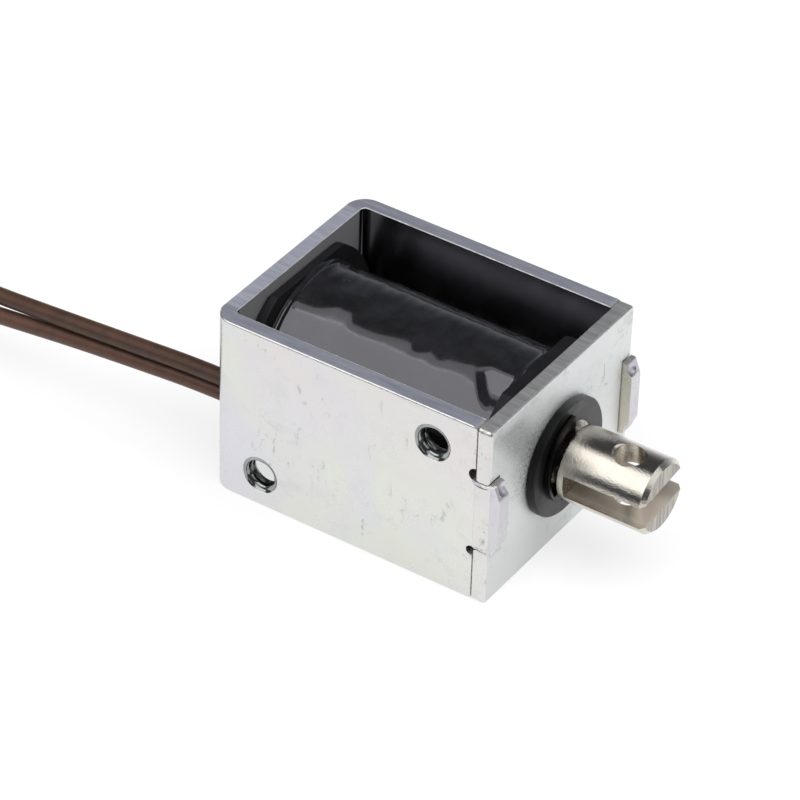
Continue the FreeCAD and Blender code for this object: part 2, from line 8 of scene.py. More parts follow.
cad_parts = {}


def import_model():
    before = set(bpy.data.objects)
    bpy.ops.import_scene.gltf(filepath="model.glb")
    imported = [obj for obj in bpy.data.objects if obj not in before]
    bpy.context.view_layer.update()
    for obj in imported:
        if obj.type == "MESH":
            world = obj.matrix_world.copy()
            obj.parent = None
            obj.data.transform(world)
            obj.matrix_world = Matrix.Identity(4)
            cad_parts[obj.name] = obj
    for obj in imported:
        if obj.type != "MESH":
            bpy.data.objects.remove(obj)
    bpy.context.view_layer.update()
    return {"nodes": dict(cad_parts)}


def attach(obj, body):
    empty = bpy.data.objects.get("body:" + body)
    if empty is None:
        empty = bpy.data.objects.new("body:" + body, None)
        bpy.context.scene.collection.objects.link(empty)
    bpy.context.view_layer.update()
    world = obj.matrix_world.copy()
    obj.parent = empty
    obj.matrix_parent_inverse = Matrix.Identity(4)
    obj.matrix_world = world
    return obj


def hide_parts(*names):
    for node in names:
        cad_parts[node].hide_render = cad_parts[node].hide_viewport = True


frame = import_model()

random.seed(11)

MM = 0.001
NODES = frame["nodes"]

# Places taken from the CAD nodes, in metres
AXIS_Z = 10.3 * MM
BACK_X = -19.95 * MM
WALL_X = -18.3 * MM
PLATE_X = 10.7 * MM
FRONT_X = 12.35 * MM
HALF_WIDTH = 12.7 * MM
INNER_HALF_WIDTH = 11.05 * MM


# Camera, fitted to the photograph
def camera():
    target = Vector((-3.8, 0, 10.3)) * MM
    azimuth = math.radians(32.45)
    elevation = math.radians(37.20)
    roll = math.radians(2.04)
    back = Vector((math.sin(azimuth) * math.cos(elevation), -math.cos(azimuth) * math.cos(elevation),
                   math.sin(elevation)))
    level = (-back).cross(Vector((0, 0, 1))).normalized()
    upright = level.cross(-back).normalized()
    right = level * math.cos(roll) + upright * math.sin(roll)
    up = upright * math.cos(roll) - level * math.sin(roll)
    data = bpy.data.cameras.new("camera")
    data.lens = 200
    data.sensor_width = 36
    data.shift_x = -0.0256
    data.shift_y = -0.0068
    data.clip_start = 0.01
    data.clip_end = 5
    cam = bpy.data.objects.new("camera", data)
    bpy.context.scene.collection.objects.link(cam)
    axes = Matrix((right, up, back)).transposed().to_4x4()
    cam.matrix_world = Matrix.Translation(target + back * 435 * MM) @ axes
    bpy.context.scene.camera = cam


camera()


# Small helpers for meshes and node materials
def ring_faces(rings, count, closed=False):
    """Faces between each ring of points and the next one, round the ring."""
    faces = []
    for i in range(rings if closed else rings - 1):
        here = i * count
        there = (i + 1) % rings * count
        for j in range(count):
            after = (j + 1) % count
            faces.append((here + j, there + j, there + after, here + after))
    return faces


TUBE_SIDES = 8


def tube_ring(middle, across, out, radius):
    turns = [2 * math.pi * i / TUBE_SIDES for i in range(TUBE_SIDES)]
    return [(middle + (across * math.cos(turn) + out * math.sin(turn)) * radius) * MM for turn in turns]


def tube_faces(rings):
    """Faces between rings made by tube_ring, wound the other way from ring_faces."""
    return [(a, d, c, b) for a, b, c, d in ring_faces(rings, TUBE_SIDES)]


def add_mesh(name, points, faces):
    mesh = bpy.data.meshes.new(name)
    mesh.from_pydata([tuple(p) for p in points], [], faces)
    mesh.update()
    for polygon in mesh.polygons:
        polygon.use_smooth = True
    piece = bpy.data.objects.new(name, mesh)
    bpy.context.scene.collection.objects.link(piece)
    return piece


def place(piece, body, slot, material, *replaced):
    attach(piece, body)
    piece.data.materials.append(material)
    if replaced:
        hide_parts(*replaced)
    return piece


class Look:
    """A Principled material under construction."""

    def __init__(self, name, color, metallic=0.0, roughness=0.5, **constants):
        self.material = bpy.data.materials.new(name)
        self.material.use_nodes = True
        self.tree = self.material.node_tree
        self.shader = self.tree.nodes["Principled BSDF"]
        self.shader.inputs["Base Color"].default_value = (*color, 1)
        self.shader.inputs["Metallic"].default_value = metallic
        self.shader.inputs["Roughness"].default_value = roughness
        for socket, value in constants.items():
            self.shader.inputs[socket.replace("_", " ")].default_value = value
        self.place = self.node("ShaderNodeTexCoord").outputs["Object"]

    def node(self, kind, **settings):
        made = self.tree.nodes.new(kind)
        for key, value in settings.items():
            setattr(made, key, value)
        return made

    def link(self, source, target):
        self.tree.links.new(source, target)

    def scaled(self, x, y, z, turn=(0, 0, 0)):
        mapping = self.node("ShaderNodeMapping")
        mapping.inputs["Scale"].default_value = (x, y, z)
        mapping.inputs["Rotation"].default_value = turn
        self.link(self.place, mapping.inputs["Vector"])
        return mapping.outputs["Vector"]

    def noise(self, scale, detail=3.0, rough=0.5, where=None, distortion=0.0):
        made = self.node("ShaderNodeTexNoise")
        made.inputs["Scale"].default_value = scale
        made.inputs["Detail"].default_value = detail
        made.inputs["Roughness"].default_value = rough
        made.inputs["Distortion"].default_value = distortion
        self.link(where or self.place, made.inputs["Vector"])
        return made.outputs["Fac"]

    def ramp(self, value, low, high, out_low=0.0, out_high=1.0):
        made = self.node("ShaderNodeMapRange")
        made.inputs["From Min"].default_value = low
        made.inputs["From Max"].default_value = high
        made.inputs["To Min"].default_value = out_low
        made.inputs["To Max"].default_value = out_high
        self.link(value, made.inputs["Value"])
        return made.outputs["Result"]

    def math(self, operation, a, b=0.0):
        made = self.node("ShaderNodeMath", operation=operation)
        for socket, value in zip(made.inputs, (a, b)):
            if isinstance(value, (int, float)):
                socket.default_value = value
            else:
                self.link(value, socket)
        return made.outputs["Value"]

    def product(self, *values):
        result = values[0]
        for value in values[1:]:
            result = self.math("MULTIPLY", result, value)
        return result

    def distance(self, a, b):
        return self.math("SQRT", self.math("ADD", self.product(a, a), self.product(b, b)))

    def mix(self, factor, a, b):
        made = self.node("ShaderNodeMix", data_type="RGBA")
        self.link(factor, made.inputs["Factor"])
        for socket, value in ((made.inputs["A"], a), (made.inputs["B"], b)):
            if isinstance(value, tuple):
                socket.default_value = (*value, 1)
            else:
                self.link(value, socket)
        return made.outputs["Result"]

    def color(self, value):
        self.link(value, self.shader.inputs["Base Color"])
        return self

    def roughness(self, value):
        self.link(value, self.shader.inputs["Roughness"])
        return self

    def metallic(self, value):
        self.link(value, self.shader.inputs["Metallic"])
        return self

    def split(self, vector):
        made = self.node("ShaderNodeSeparateXYZ")
        self.link(vector, made.inputs["Vector"])
        return made.outputs

    def above_axis(self):
        return self.math("SUBTRACT", self.split(self.place)["Z"], AXIS_Z)

    def facing(self, axis):
        # 1 on faces square to the axis, in the piece's own frame
        side = self.split(self.node("ShaderNodeTexCoord").outputs["Normal"])[axis]
        return self.ramp(self.math("ABSOLUTE", side), 0.86, 0.97)

    def bump(self, height, strength, distance):
        made = self.node("ShaderNodeBump")
        made.inputs["Strength"].default_value = strength
        made.inputs["Distance"].default_value = distance
        self.link(height, made.inputs["Height"])
        previous = self.shader.inputs["Normal"].links
        if previous:
            self.link(previous[0].from_socket, made.inputs["Normal"])
        self.link(made.outputs["Normal"], self.shader.inputs["Normal"])
        return self


def zinc_tint(look, across, front, proud):
    # Clouds of faint lilac and green, with a greener front plate
    broad = look.noise(70, 2, 0.5, distortion=0.8)
    tint = look.mix(look.ramp(broad, 0.38, 0.56), (0.705, 0.70, 0.745), (0.725, 0.74, 0.685))
    second = look.noise(55, 2, 0.5, look.scaled(1, 1.3, 0.8, (0.4, 0.2, 0.7)))
    tint = look.mix(look.ramp(second, 0.5, 0.66), tint, (0.735, 0.71, 0.705))
    tint = look.mix(look.product(front, 0.8), tint, (0.80, 0.835, 0.825))
    # Tab ends are lilac, and the far one's inner side gets a painted brownish reflection
    tint = look.mix(proud, tint, (0.66, 0.64, 0.69))
    painted_khaki_reflection = look.product(proud, look.facing("Y"), look.ramp(across, 0, 1 * MM))
    return look.mix(painted_khaki_reflection, tint, (0.70, 0.66, 0.56))


def zinc_scuffs(look, tone, along, across, up):
    # Scuffs and specks, most of them round the near tab
    scuff = look.noise(900, 4, 0.75, look.scaled(1, 1, 0.5, (0.2, 0.5, 0.1)), 0.6)
    patch = look.noise(180, 1, 0.5, look.scaled(1, 1, 1, (1.0, 0.3, 0.5)))
    corner = look.product(look.ramp(along, 9.8 * MM, 11.4 * MM), look.ramp(across, -11.2 * MM, -12.0 * MM),
                          look.ramp(up, 9.0 * MM, 7.6 * MM))
    where = look.math("MAXIMUM", look.ramp(patch, 0.49, 0.62, 0, 0.55), look.product(corner, 0.8))
    return look.mix(look.product(look.ramp(scuff, 0.57, 0.66), where), tone, (0.34, 0.35, 0.34))


def plate_grain_and_painted_shade(look, tone, front, across, up):
    # Satin grain of the plate; its dark grain is painted shadow, strongest round the washer on the side of
    # the tapped wall
    reach = look.distance(across, look.above_axis())
    near = look.ramp(reach, 10.5 * MM, 6.0 * MM, 0.12, 0.75)
    grit = look.ramp(look.noise(4600, 2, 0.8), 0.42, 0.62)
    side = look.product(look.ramp(across, -1.5 * MM, -6 * MM), look.ramp(up, 8 * MM, 13 * MM), 0.85)
    side = look.math("ADD", side, 0.1)
    tone = look.mix(look.product(grit, near, front, side), tone, (0.40, 0.41, 0.41))
    # Painted shade: a darker band from the upper corner down to the washer
    slope = look.product(look.math("SUBTRACT", up, 17.2 * MM), 0.8)
    offset = look.math("ABSOLUTE", look.math("ADD", look.math("ADD", across, 7.9 * MM), slope))
    band = look.product(look.ramp(offset, 3.4 * MM, 1.2 * MM), look.ramp(up, 12.0 * MM, 15.5 * MM),
                        look.ramp(up, 19.9 * MM, 18.9 * MM), front, look.ramp(grit, 0, 1, 0.55, 1.0))
    tone = look.mix(band, tone, (0.43, 0.44, 0.435))
    # Painted shadow: coarse dark grain round the washer on the side of the tapped wall
    coarse = look.ramp(look.noise(3300, 2, 0.9, look.scaled(1, 1, 1, (0.7, 0.2, 0.4))), 0.47, 0.60)
    painted_shadow_halo = look.product(look.ramp(reach, 9.0 * MM, 6.3 * MM), side)
    tone = look.mix(look.product(coarse, front, painted_shadow_halo), tone, (0.13, 0.14, 0.14))
    # Painted shade: the plate's face darker towards the bottom on the side of the tapped wall
    painted_lower_shade = look.product(look.ramp(up, 12 * MM, 3 * MM, 0, 0.8), front, look.ramp(across, 3 * MM, -3 * MM))
    return look.mix(painted_lower_shade, tone, (0.60, 0.62, 0.61))


def zinc():
    look = Look("zinc plated steel", (0.70, 0.70, 0.69), metallic=1.0, roughness=0.3)
    along, across, up = look.split(look.place)
    depth = look.math("ABSOLUTE", across)
    plate = look.ramp(along, PLATE_X - 0.02 * MM, PLATE_X + 0.02 * MM)
    front = look.ramp(along, FRONT_X - 0.05 * MM, FRONT_X - 0.01 * MM)
    proud = look.ramp(along, FRONT_X + 0.01 * MM, FRONT_X + 0.05 * MM)
    cloud = look.noise(300, 4, 0.6)
    tint = zinc_tint(look, across, front, proud)
    tone = look.mix(look.ramp(cloud, 0.2, 0.45), (0.66, 0.66, 0.655), tint)
    smudge = look.noise(150, 4, 0.65, look.scaled(1, 1, 2.2))
    tone = look.mix(look.ramp(smudge, 0.62, 0.74, 0, 0.7), tone, (0.60, 0.60, 0.59))
    tone = zinc_scuffs(look, tone, along, across, up)
    tone = plate_grain_and_painted_shade(look, tone, front, across, up)
    # Inside the yoke the plating is smooth and unmarked; painted shade makes the inner walls darker, darkest
    # in the bends
    inside = look.product(look.ramp(depth, INNER_HALF_WIDTH + 0.3 * MM, INNER_HALF_WIDTH + 0.1 * MM),
                          look.ramp(plate, 0, 1, 1, 0))
    inner = look.product(inside, look.ramp(along, BACK_X + 0.05 * MM, BACK_X + 0.15 * MM))
    tone = look.mix(inner, tone, (0.52, 0.52, 0.54))
    # Painted shade, near black, in the inner bends at the back
    painted_bend_shade = look.product(look.ramp(along, -17.3 * MM, -17.6 * MM),
                        look.ramp(depth, 10.3 * MM, 10.5 * MM), inner)
    rear = look.product(look.ramp(along, WALL_X + 0.1 * MM, WALL_X + 0.02 * MM),
                        look.ramp(depth, 10.4 * MM, 10.2 * MM), inner)
    tone = look.mix(painted_bend_shade, tone, (0.08, 0.08, 0.085))
    # Sheared edges are duller and bluish, with lines square to the edge
    cut = look.facing("Z")
    lines = look.noise(2300, 2, 0.6, look.scaled(0.12, 1.0, 1.0))
    yoke_cut = look.mix(look.ramp(lines, 0.3, 0.7), (0.195, 0.205, 0.245), (0.27, 0.28, 0.325))
    plate_cut = look.mix(look.ramp(lines, 0.3, 0.7), (0.18, 0.18, 0.18), (0.28, 0.28, 0.285))
    look.color(look.mix(cut, tone, look.mix(plate, yoke_cut, plate_cut)))
    # The plate's face, the edges and the back wall's inner side shine less
    sheet = look.math("SUBTRACT", front, proud)
    metal = look.math("SUBTRACT", 1.0, look.product(sheet, 0.4))
    metal = look.math("SUBTRACT", metal, look.product(rear, 0.35))
    look.metallic(look.math("SUBTRACT", metal, look.product(cut, 0.65)))
    satin = look.math("ADD", look.ramp(cloud, 0.3, 0.7, 0.24, 0.34), look.product(cut, 0.22))
    satin = look.math("ADD", satin, look.product(sheet, 0.16))
    look.roughness(look.math("SUBTRACT", satin, look.product(inside, 0.08)))
    outside = look.ramp(inside, 0, 1, 1, 0.05)
    look.bump(look.product(look.noise(5200, 2, 0.5), outside), 0.4, 0.03 * MM)
    look.bump(look.product(look.noise(7500, 2, 0.7), plate), 0.7, 0.06 * MM)
    look.bump(look.product(smudge, outside), 0.12, 0.02 * MM)
    return look.material


def nickel():
    look = Look("bright nickel", (0.66, 0.615, 0.545), metallic=1.0, roughness=0.15)
    cloud = look.noise(420, 4, 0.6)
    bright = look.mix(look.ramp(cloud, 0.3, 0.7), (0.63, 0.585, 0.515), (0.69, 0.65, 0.59))
    # The prongs' ends are sawn
    sawn = look.facing("X")
    strokes = look.noise(3000, 2, 0.6, look.scaled(1, 1, 0.06))
    dull = look.mix(look.ramp(strokes, 0.35, 0.65), (0.30, 0.275, 0.245), (0.50, 0.465, 0.42))
    # The slot's faces are milled and a little dull
    height = look.math("ABSOLUTE", look.above_axis())
    slot = look.product(look.facing("Z"), look.ramp(height, 1.75 * MM, 1.65 * MM))
    look.color(look.mix(sawn, look.mix(slot, bright, (0.60, 0.55, 0.48)), dull))
    look.metallic(look.ramp(slot, 0, 1, 1.0, 0.5))
    grain = look.noise(5200, 3, 0.6)
    turned = look.noise(900, 3, 0.6, look.scaled(9, 1, 1))
    satin = look.ramp(grain, 0.3, 0.75, 0.08, 0.15)
    look.roughness(look.math("ADD", satin, look.product(sawn, 0.15)))
    look.bump(turned, 0.22, 0.006 * MM)
    look.bump(look.noise(5200, 2, 0.8), 0.7, 0.03 * MM)
    return look.material


def burred():
    look = Look("bright burr", (0.80, 0.80, 0.79), metallic=0.4, roughness=0.35)
    shine = look.noise(900, 3, 0.6)
    look.color(look.mix(look.ramp(shine, 0.35, 0.6), (0.40, 0.41, 0.44), (0.80, 0.80, 0.80)))
    return look.material


def satin_metal(name, light, dark, low, high, scale=(1, 1, 1), lines=900, depth=0.006):
    look = Look(name, light, metallic=1.0, roughness=low)
    cloud = look.noise(380, 4, 0.6)
    look.color(look.mix(look.ramp(cloud, 0.3, 0.7), dark, light))
    marks = look.noise(lines, 3, 0.6, look.scaled(*scale))
    look.roughness(look.ramp(marks, 0.3, 0.7, low, high))
    look.bump(marks, 0.3, depth * MM)
    return look.material


def polymer(name, light, dark, low, high, lumps=1400, depth=0.01, **constants):
    look = Look(name, light, roughness=low, **constants)
    cloud = look.noise(350, 4, 0.6)
    look.color(look.mix(look.ramp(cloud, 0.3, 0.7), dark, light))
    grain = look.noise(lumps, 3, 0.6)
    look.roughness(look.ramp(grain, 0.3, 0.7, low, high))
    look.bump(grain, 0.3, depth * MM)
    return look.material


def rubber():
    # Dusty, with painted shadow: near black above the axis on the side of the tapped wall
    look = Look("dark rubber", (0.03, 0.03, 0.03), roughness=0.42, Specular_IOR_Level=0.25)
    across = look.split(look.place)["Y"]
    reach = look.math("SUBTRACT", look.product(look.above_axis(), 0.42), look.product(across, 0.906))
    cloud = look.noise(500, 4, 0.6)
    dust = look.mix(look.ramp(cloud, 0.3, 0.7), (0.058, 0.058, 0.058), (0.078, 0.078, 0.077))
    # Painted shadow: the face goes near black towards the tapped wall's side, above the axis
    look.color(look.mix(look.ramp(reach, 1.0 * MM, 4.0 * MM), dust, (0.004, 0.004, 0.004)))
    grain = look.noise(1400, 3, 0.6)
    look.roughness(look.ramp(grain, 0.3, 0.7, 0.38, 0.5))
    look.bump(grain, 0.3, 0.01 * MM)
    return look.material


WIRE_PITCH = 0.22 * MM


def wound():
    # Enamelled wire, turn beside turn
    look = Look("enamelled copper", (0.42, 0.14, 0.06), roughness=0.25, Coat_Weight=0.6)
    along = look.split(look.place)["X"]
    turns = look.math("SINE", look.product(along, 2 * math.pi / WIRE_PITCH))
    look.color(look.mix(look.ramp(turns, -1, 1), (0.26, 0.08, 0.035), (0.50, 0.17, 0.07)))
    look.bump(look.ramp(turns, -1, 1), 0.6, 0.05 * MM)
    return look.material


def tape():
    look = Look("black tape", (0.0065, 0.0065, 0.007), roughness=0.1, Specular_IOR_Level=1.0, Coat_Weight=0.5,
                Coat_Roughness=0.08, Specular_Tint=(0.94, 0.93, 1.0, 1.0), Coat_Tint=(0.97, 0.97, 1.0, 1.0))
    cloud = look.noise(500, 4, 0.6)
    black = look.mix(look.ramp(cloud, 0.3, 0.7), (0.004, 0.004, 0.0045), (0.008, 0.008, 0.0085))
    # Greyish stretch marks where the tape is folded
    folds = look.noise(700, 4, 0.7, look.scaled(0.5, 1, 1, (0, 0, 0.5)), 0.8)
    marks = look.noise(2600, 3, 0.7, look.scaled(0.3, 1, 1, (0.5, 0, 0.9)))
    rear = look.ramp(look.split(look.place)["X"], -9 * MM, -14 * MM, 0.15, 0.8)
    grey = look.product(look.ramp(folds, 0.56, 0.70), look.ramp(marks, 0.5, 0.62), rear)
    black = look.mix(grey, black, (0.04, 0.04, 0.042))
    dust = look.product(look.ramp(look.noise(260, 4, 0.7), 0.35, 0.65), look.noise(3200, 2, 0.8), 0.9)
    look.color(look.mix(dust, black, (0.022, 0.022, 0.025)))
    look.roughness(look.ramp(look.noise(2600, 3, 0.6), 0.3, 0.7, 0.08, 0.17))
    # Fine creases run round the coil
    look.bump(look.noise(300, 3, 0.6, look.scaled(2.0, 1, 1)), 0.4, 0.03 * MM)
    look.bump(look.noise(1500, 3, 0.6), 0.35, 0.008 * MM)
    return look.material


def cord_jacket(name, color, darker):
    look = Look(name, color, roughness=0.42, Specular_IOR_Level=0.3)
    patches = look.noise(700, 3, 0.5)
    look.color(look.mix(look.ramp(patches, 0.3, 0.7), darker, color))
    look.bump(look.noise(1600, 2, 0.5), 0.2, 0.02 * MM)
    return look.material


JACKET_A = cord_jacket("brown jacket a", (0.070, 0.034, 0.021), (0.044, 0.023, 0.015))
JACKET_B = cord_jacket("brown jacket b", (0.098, 0.045, 0.030), (0.072, 0.033, 0.022))


# The two leads. The routes and the coil are the ones of the CAD source, as control points.
LEAD_DIAMETER = 1.75 * MM
COIL_CENTRE = Vector((-72.95, -0.25, 0)) * MM
COIL_POINTS = 16
COIL_FOOT = 1.175


def route_points(route):
    return [Vector((BACK_X - behind * MM, y * MM, z * MM)) for behind, y, z in route]


def coil_points(radius, top, turns):
    # Turns go clockwise from the side nearest the tapped wall, downwards
    count = round(turns * COIL_POINTS)
    pull = radius / math.cos(math.pi / COIL_POINTS)
    points = []
    for i in range(1, count):
        angle = math.radians(-90 - 360 * i / COIL_POINTS)
        height = top - i / count * (top - COIL_FOOT)
        points.append(COIL_CENTRE + Vector((pull * math.cos(angle), pull * math.sin(angle), height)) * MM)
    return points


def lead(name, route, radius, turns, tail, material, replaced):
    top = route[-1][2]
    points = route_points(route) + coil_points(radius, top, turns)
    points += [COIL_CENTRE + Vector(p) * MM for p in tail]
    curve = bpy.data.curves.new(name, "CURVE")
    curve.dimensions = "3D"
    spline = curve.splines.new("NURBS")
    spline.points.add(len(points) - 1)
    # The thickness is in the knots, because a curve's box grows by their radius
    for knot, p in zip(spline.points, points):
        knot.co = (*p, 1)
        knot.radius = LEAD_DIAMETER / 2
    spline.order_u = 3
    spline.use_endpoint_u = True
    spline.resolution_u = 8
    curve.bevel_depth = 1
    curve.bevel_resolution = 5
    curve.use_fill_caps = True
    piece = bpy.data.objects.new(name, curve)
    bpy.context.scene.collection.objects.link(piece)
    slot = "lead_jacket_" + name[5]
    place(piece, "root", slot, material, *replaced)


# Millimetres behind the back wall, then Y and Z
ROUTE_A = [
    (-4.45, -9.445, 10.7),
    (2.6, -9.445, 10.7),
    (11.2, -9.43, 10.02),
    (20.0, -9.35, 9.28),
    (29.5, -9.0, 8.3),
    (39.0, -8.7, 7.75),
    (48.0, -8.6, 7.5),
    (53.0, -8.55, 6.125),
]
ROUTE_B = [
    (-4.45, -9.445, 8.9),
    (2.6, -9.445, 8.9),
    (11.2, -9.47, 8.2),
    (20.0, -9.55, 7.42),
    (30.0, -9.95, 6.48),
    (42.0, -10.3, 5.75),
    (53.0, -10.35, 5.225),
]
# From the middle of the coil, in millimetres
COIL_RADIUS_A = 8.3
COIL_RADIUS_B = 10.1
TAIL_A = [(COIL_RADIUS_A, 0.0, COIL_FOOT), (7.2, -2.1, COIL_FOOT), (4.15, -3.61, COIL_FOOT)]
TAIL_B = [(-COIL_RADIUS_B, 0.0, COIL_FOOT), (-10.5, 2.6, COIL_FOOT), (-11.71, 5.26, COIL_FOOT)]

lead("lead_a_cord", ROUTE_A, COIL_RADIUS_A, 2.75, TAIL_A, JACKET_A,
     ["lead_a", "lead_a_coil"])
lead("lead_b_cord", ROUTE_B, COIL_RADIUS_B, 2.25, TAIL_B, JACKET_B,
     ["lead_b", "lead_b_coil"])


def dress(material, *names):
    for name in names:
        for material_slot in NODES[name].material_slots:
            material_slot.link = "OBJECT"
            material_slot.material = material


ZINC = zinc()
TAPE = tape()
BURR = burred()
# Bare steel of the cut threads, coloured dark as painted shade inside the tapped holes
SHADED_CUT_THREAD = satin_metal("cut thread, painted shade", (0.42, 0.44, 0.43), (0.24, 0.25, 0.25), 0.1, 0.2,
                         (1, 1, 1), 2500, 0.004)
dress(ZINC, "yoke", "front_plate")
dress(nickel(), "plunger")
dress(satin_metal("turned core steel", (0.54, 0.53, 0.52), (0.46, 0.45, 0.43), 0.28, 0.4, (8, 1, 1)),
      "fixed_core")
dress(satin_metal("ground pin steel", (0.68, 0.67, 0.65), (0.60, 0.59, 0.56), 0.16, 0.26, (8, 1, 1)),
      "push_pin")
dress(satin_metal("drawn brass", (0.74, 0.56, 0.28), (0.62, 0.44, 0.20), 0.2, 0.32, (1, 6, 6)),
      "guide_sleeve")
dress(satin_metal("tinned copper", (0.72, 0.72, 0.70), (0.60, 0.59, 0.56), 0.22, 0.38, (3, 3, 3), 1500, 0.03),
      "lead_a_strands", "lead_b_strands")
dress(satin_metal("black oxide", (0.05, 0.045, 0.045), (0.02, 0.018, 0.018), 0.22, 0.3,
                  (1, 1, 1), 300, 0.002),
      "retaining_clip")
dress(rubber(), "damping_washer")
NYLON = polymer("black nylon", (0.010, 0.010, 0.011), (0.006, 0.006, 0.007), 0.45, 0.6,
                Specular_IOR_Level=0.25)
dress(NYLON, "bobbin")
dress(polymer("insulation film", (0.80, 0.66, 0.26), (0.70, 0.52, 0.16), 0.15, 0.25), "layer_insulation")
dress(polymer("splice sleeve", (0.09, 0.09, 0.09), (0.05, 0.05, 0.05), 0.4, 0.55), "splice_a", "splice_b")
dress(polymer("tie band", (0.03, 0.03, 0.03), (0.015, 0.015, 0.015), 0.4, 0.6, 2600, 0.02), "coil_tie")
dress(wound(), "winding", "winding_ends")


# The bobbin's lead boss, cut just inside the yoke's back
BOSS_SUNK = 0.1 * MM


def flush_bobbin():
    source = NODES["bobbin"]
    shape = bmesh.new()
    shape.from_mesh(source.data)
    shape.transform(source.matrix_world)
    everything = shape.verts[:] + shape.edges[:] + shape.faces[:]
    cut = bmesh.ops.bisect_plane(shape, geom=everything, dist=1e-7, plane_co=(BACK_X + BOSS_SUNK, 0, 0),
                                 plane_no=(-1, 0, 0), clear_outer=True)
    rim = [item for item in cut["geom_cut"] if isinstance(item, bmesh.types.BMEdge)]
    bmesh.ops.triangle_fill(shape, use_beauty=True, edges=rim)
    mesh = bpy.data.meshes.new("flush_bobbin")
    shape.to_mesh(mesh)
    shape.free()
    mesh.materials.clear()
    piece = bpy.data.objects.new("flush_bobbin", mesh)
    bpy.context.scene.collection.objects.link(piece)
    place(piece, "root", "bobbin_plastic", NYLON, "bobbin")


flush_bobbin()


# Tape round the coil, with its creases, its free edge and the hump over the leads
TAPE_RADIUS = 9.2
TAPE_START = -16.95
TAPE_END = 8.85
TAPE_INNER = 8.6
TAPE_STEPS = 130
LEAD_SIDE = 9.445
HUMP_ROOM = 1.19
AXIS_Z_MM = AXIS_Z / MM
# Along the coil: how far the tape stands proud above or below round (mm) just behind its crown
SWELL = [(-17.0, -0.13), (-16.4, -0.12), (-15.6, 0.02), (-14.0, 0.02), (-11.9, 0.23), (-10.2, 0.24),
         (-9.6, 0.01), (-8.8, 0.01), (-5.8, 0.08), (-3.5, 0.15), (-2.9, 0.14), (-2.5, -0.04), (-1.9, -0.02),
         (-0.8, 0.12), (0.4, 0.02), (1.3, 0.14), (3.9, 0.2), (5.0, 0.14), (8.9, 0.14)]
FREE_EDGE = [(-17.0, -32), (-14.5, -28), (-12.0, -29), (-9.5, -33), (-7.0, -32), (-4.5, -29), (-2.4, -25),
             (0.0, -27), (2.6, -25), (5.0, -24), (8.9, -22)]


def between(table, x):
    for (x0, v0), (x1, v1) in zip(table, table[1:]):
        if x <= x1:
            share = min(max((x - x0) / (x1 - x0), 0), 1)
            return v0 + (v1 - v0) * share
    return table[-1][1]


def rise(low, high, value):
    share = min(max((value - low) / (high - low), 0), 1)
    return share * share * (3 - 2 * share)


def bell(value, middle, width):
    return math.exp(-((value - middle) / width) ** 2 / 2)


def hump(x, around):
    # Reach of the hump over the two leads in one direction, 0 outside it
    room = HUMP_ROOM * math.sqrt(max(0.0, 1 - rise(-6.6, -5.35, x) ** 2))
    if room < 0.1 or not 70 < around < 115:
        return 0
    side = math.sin(math.radians(around))
    up = math.cos(math.radians(around))
    reach = 0
    for step in range(9):
        height = -1.4 + 1.8 * step / 8
        along = LEAD_SIDE * side + height * up
        off = LEAD_SIDE * up - height * side
        if abs(off) < room:
            reach = max(reach, along + math.sqrt(room ** 2 - off ** 2))
    return reach


def tape_radius(x, around):
    # around: degrees from the top towards the tapped wall
    radius = TAPE_RADIUS + between(SWELL, x) * bell(around, 11, 7.5)
    edge = between(FREE_EDGE, x) + 1.3 * math.sin(2.1 * x) + 0.8 * math.sin(4.7 * x + 1)
    radius += 0.15 * rise(edge - 1.2, edge + 1.2, around) * (1 - rise(edge + 6, edge + 32, around))
    # A dent beside the front flange
    slant = 4.6 + max(around - 21, 0) / 22 * 2.0
    radius -= 0.5 * rise(slant - 0.2, slant + 1.3, x) * bell(around, 29, 8.5) * (1 - rise(8.2, 8.8, x))
    radius += 0.22 * (1 - rise(-16.95, -16.6, x)) + 0.12 * bell(x, -16.1, 0.12) + 0.12 * rise(8.35, 8.85, x)
    radius += 0.008 * math.sin(x * 1.1 + around * 0.11) * math.sin(around * 0.13 + x * 0.4)
    return max(radius, hump(x, around))


def coil_tape():
    angles = [-66 + 1.5 * i for i in range(122)] + [117 + 6 * i for i in range(1, 29)]
    places = [TAPE_START + (TAPE_END - TAPE_START) * i / (TAPE_STEPS - 1) for i in range(TAPE_STEPS)]
    points = []

    def ring(x, radius_at):
        for around in angles:
            turn = math.radians(around)
            radius = radius_at(x, around)
            points.append(Vector((x, -radius * math.sin(turn), AXIS_Z_MM + radius * math.cos(turn))) * MM)

    def inner(x, around):
        return TAPE_INNER

    ring(TAPE_START, inner)
    for x in places:
        ring(x, tape_radius)
    ring(TAPE_END, inner)
    faces = ring_faces(TAPE_STEPS + 2, len(angles), closed=True)
    place(add_mesh("coil_tape", points, faces), "root", "wrap_tape", TAPE, "coil_wrap")


coil_tape()


# Threads of the two tapped holes, in millimetres
THREAD_PITCH = 0.7
THREAD_DEPTH = 1.6
THREAD_ROOT = 1.64
THREAD_CREST = 1.5
MOUTH_RADIUS = 2.04
MOUTH_SUNK = 0.02


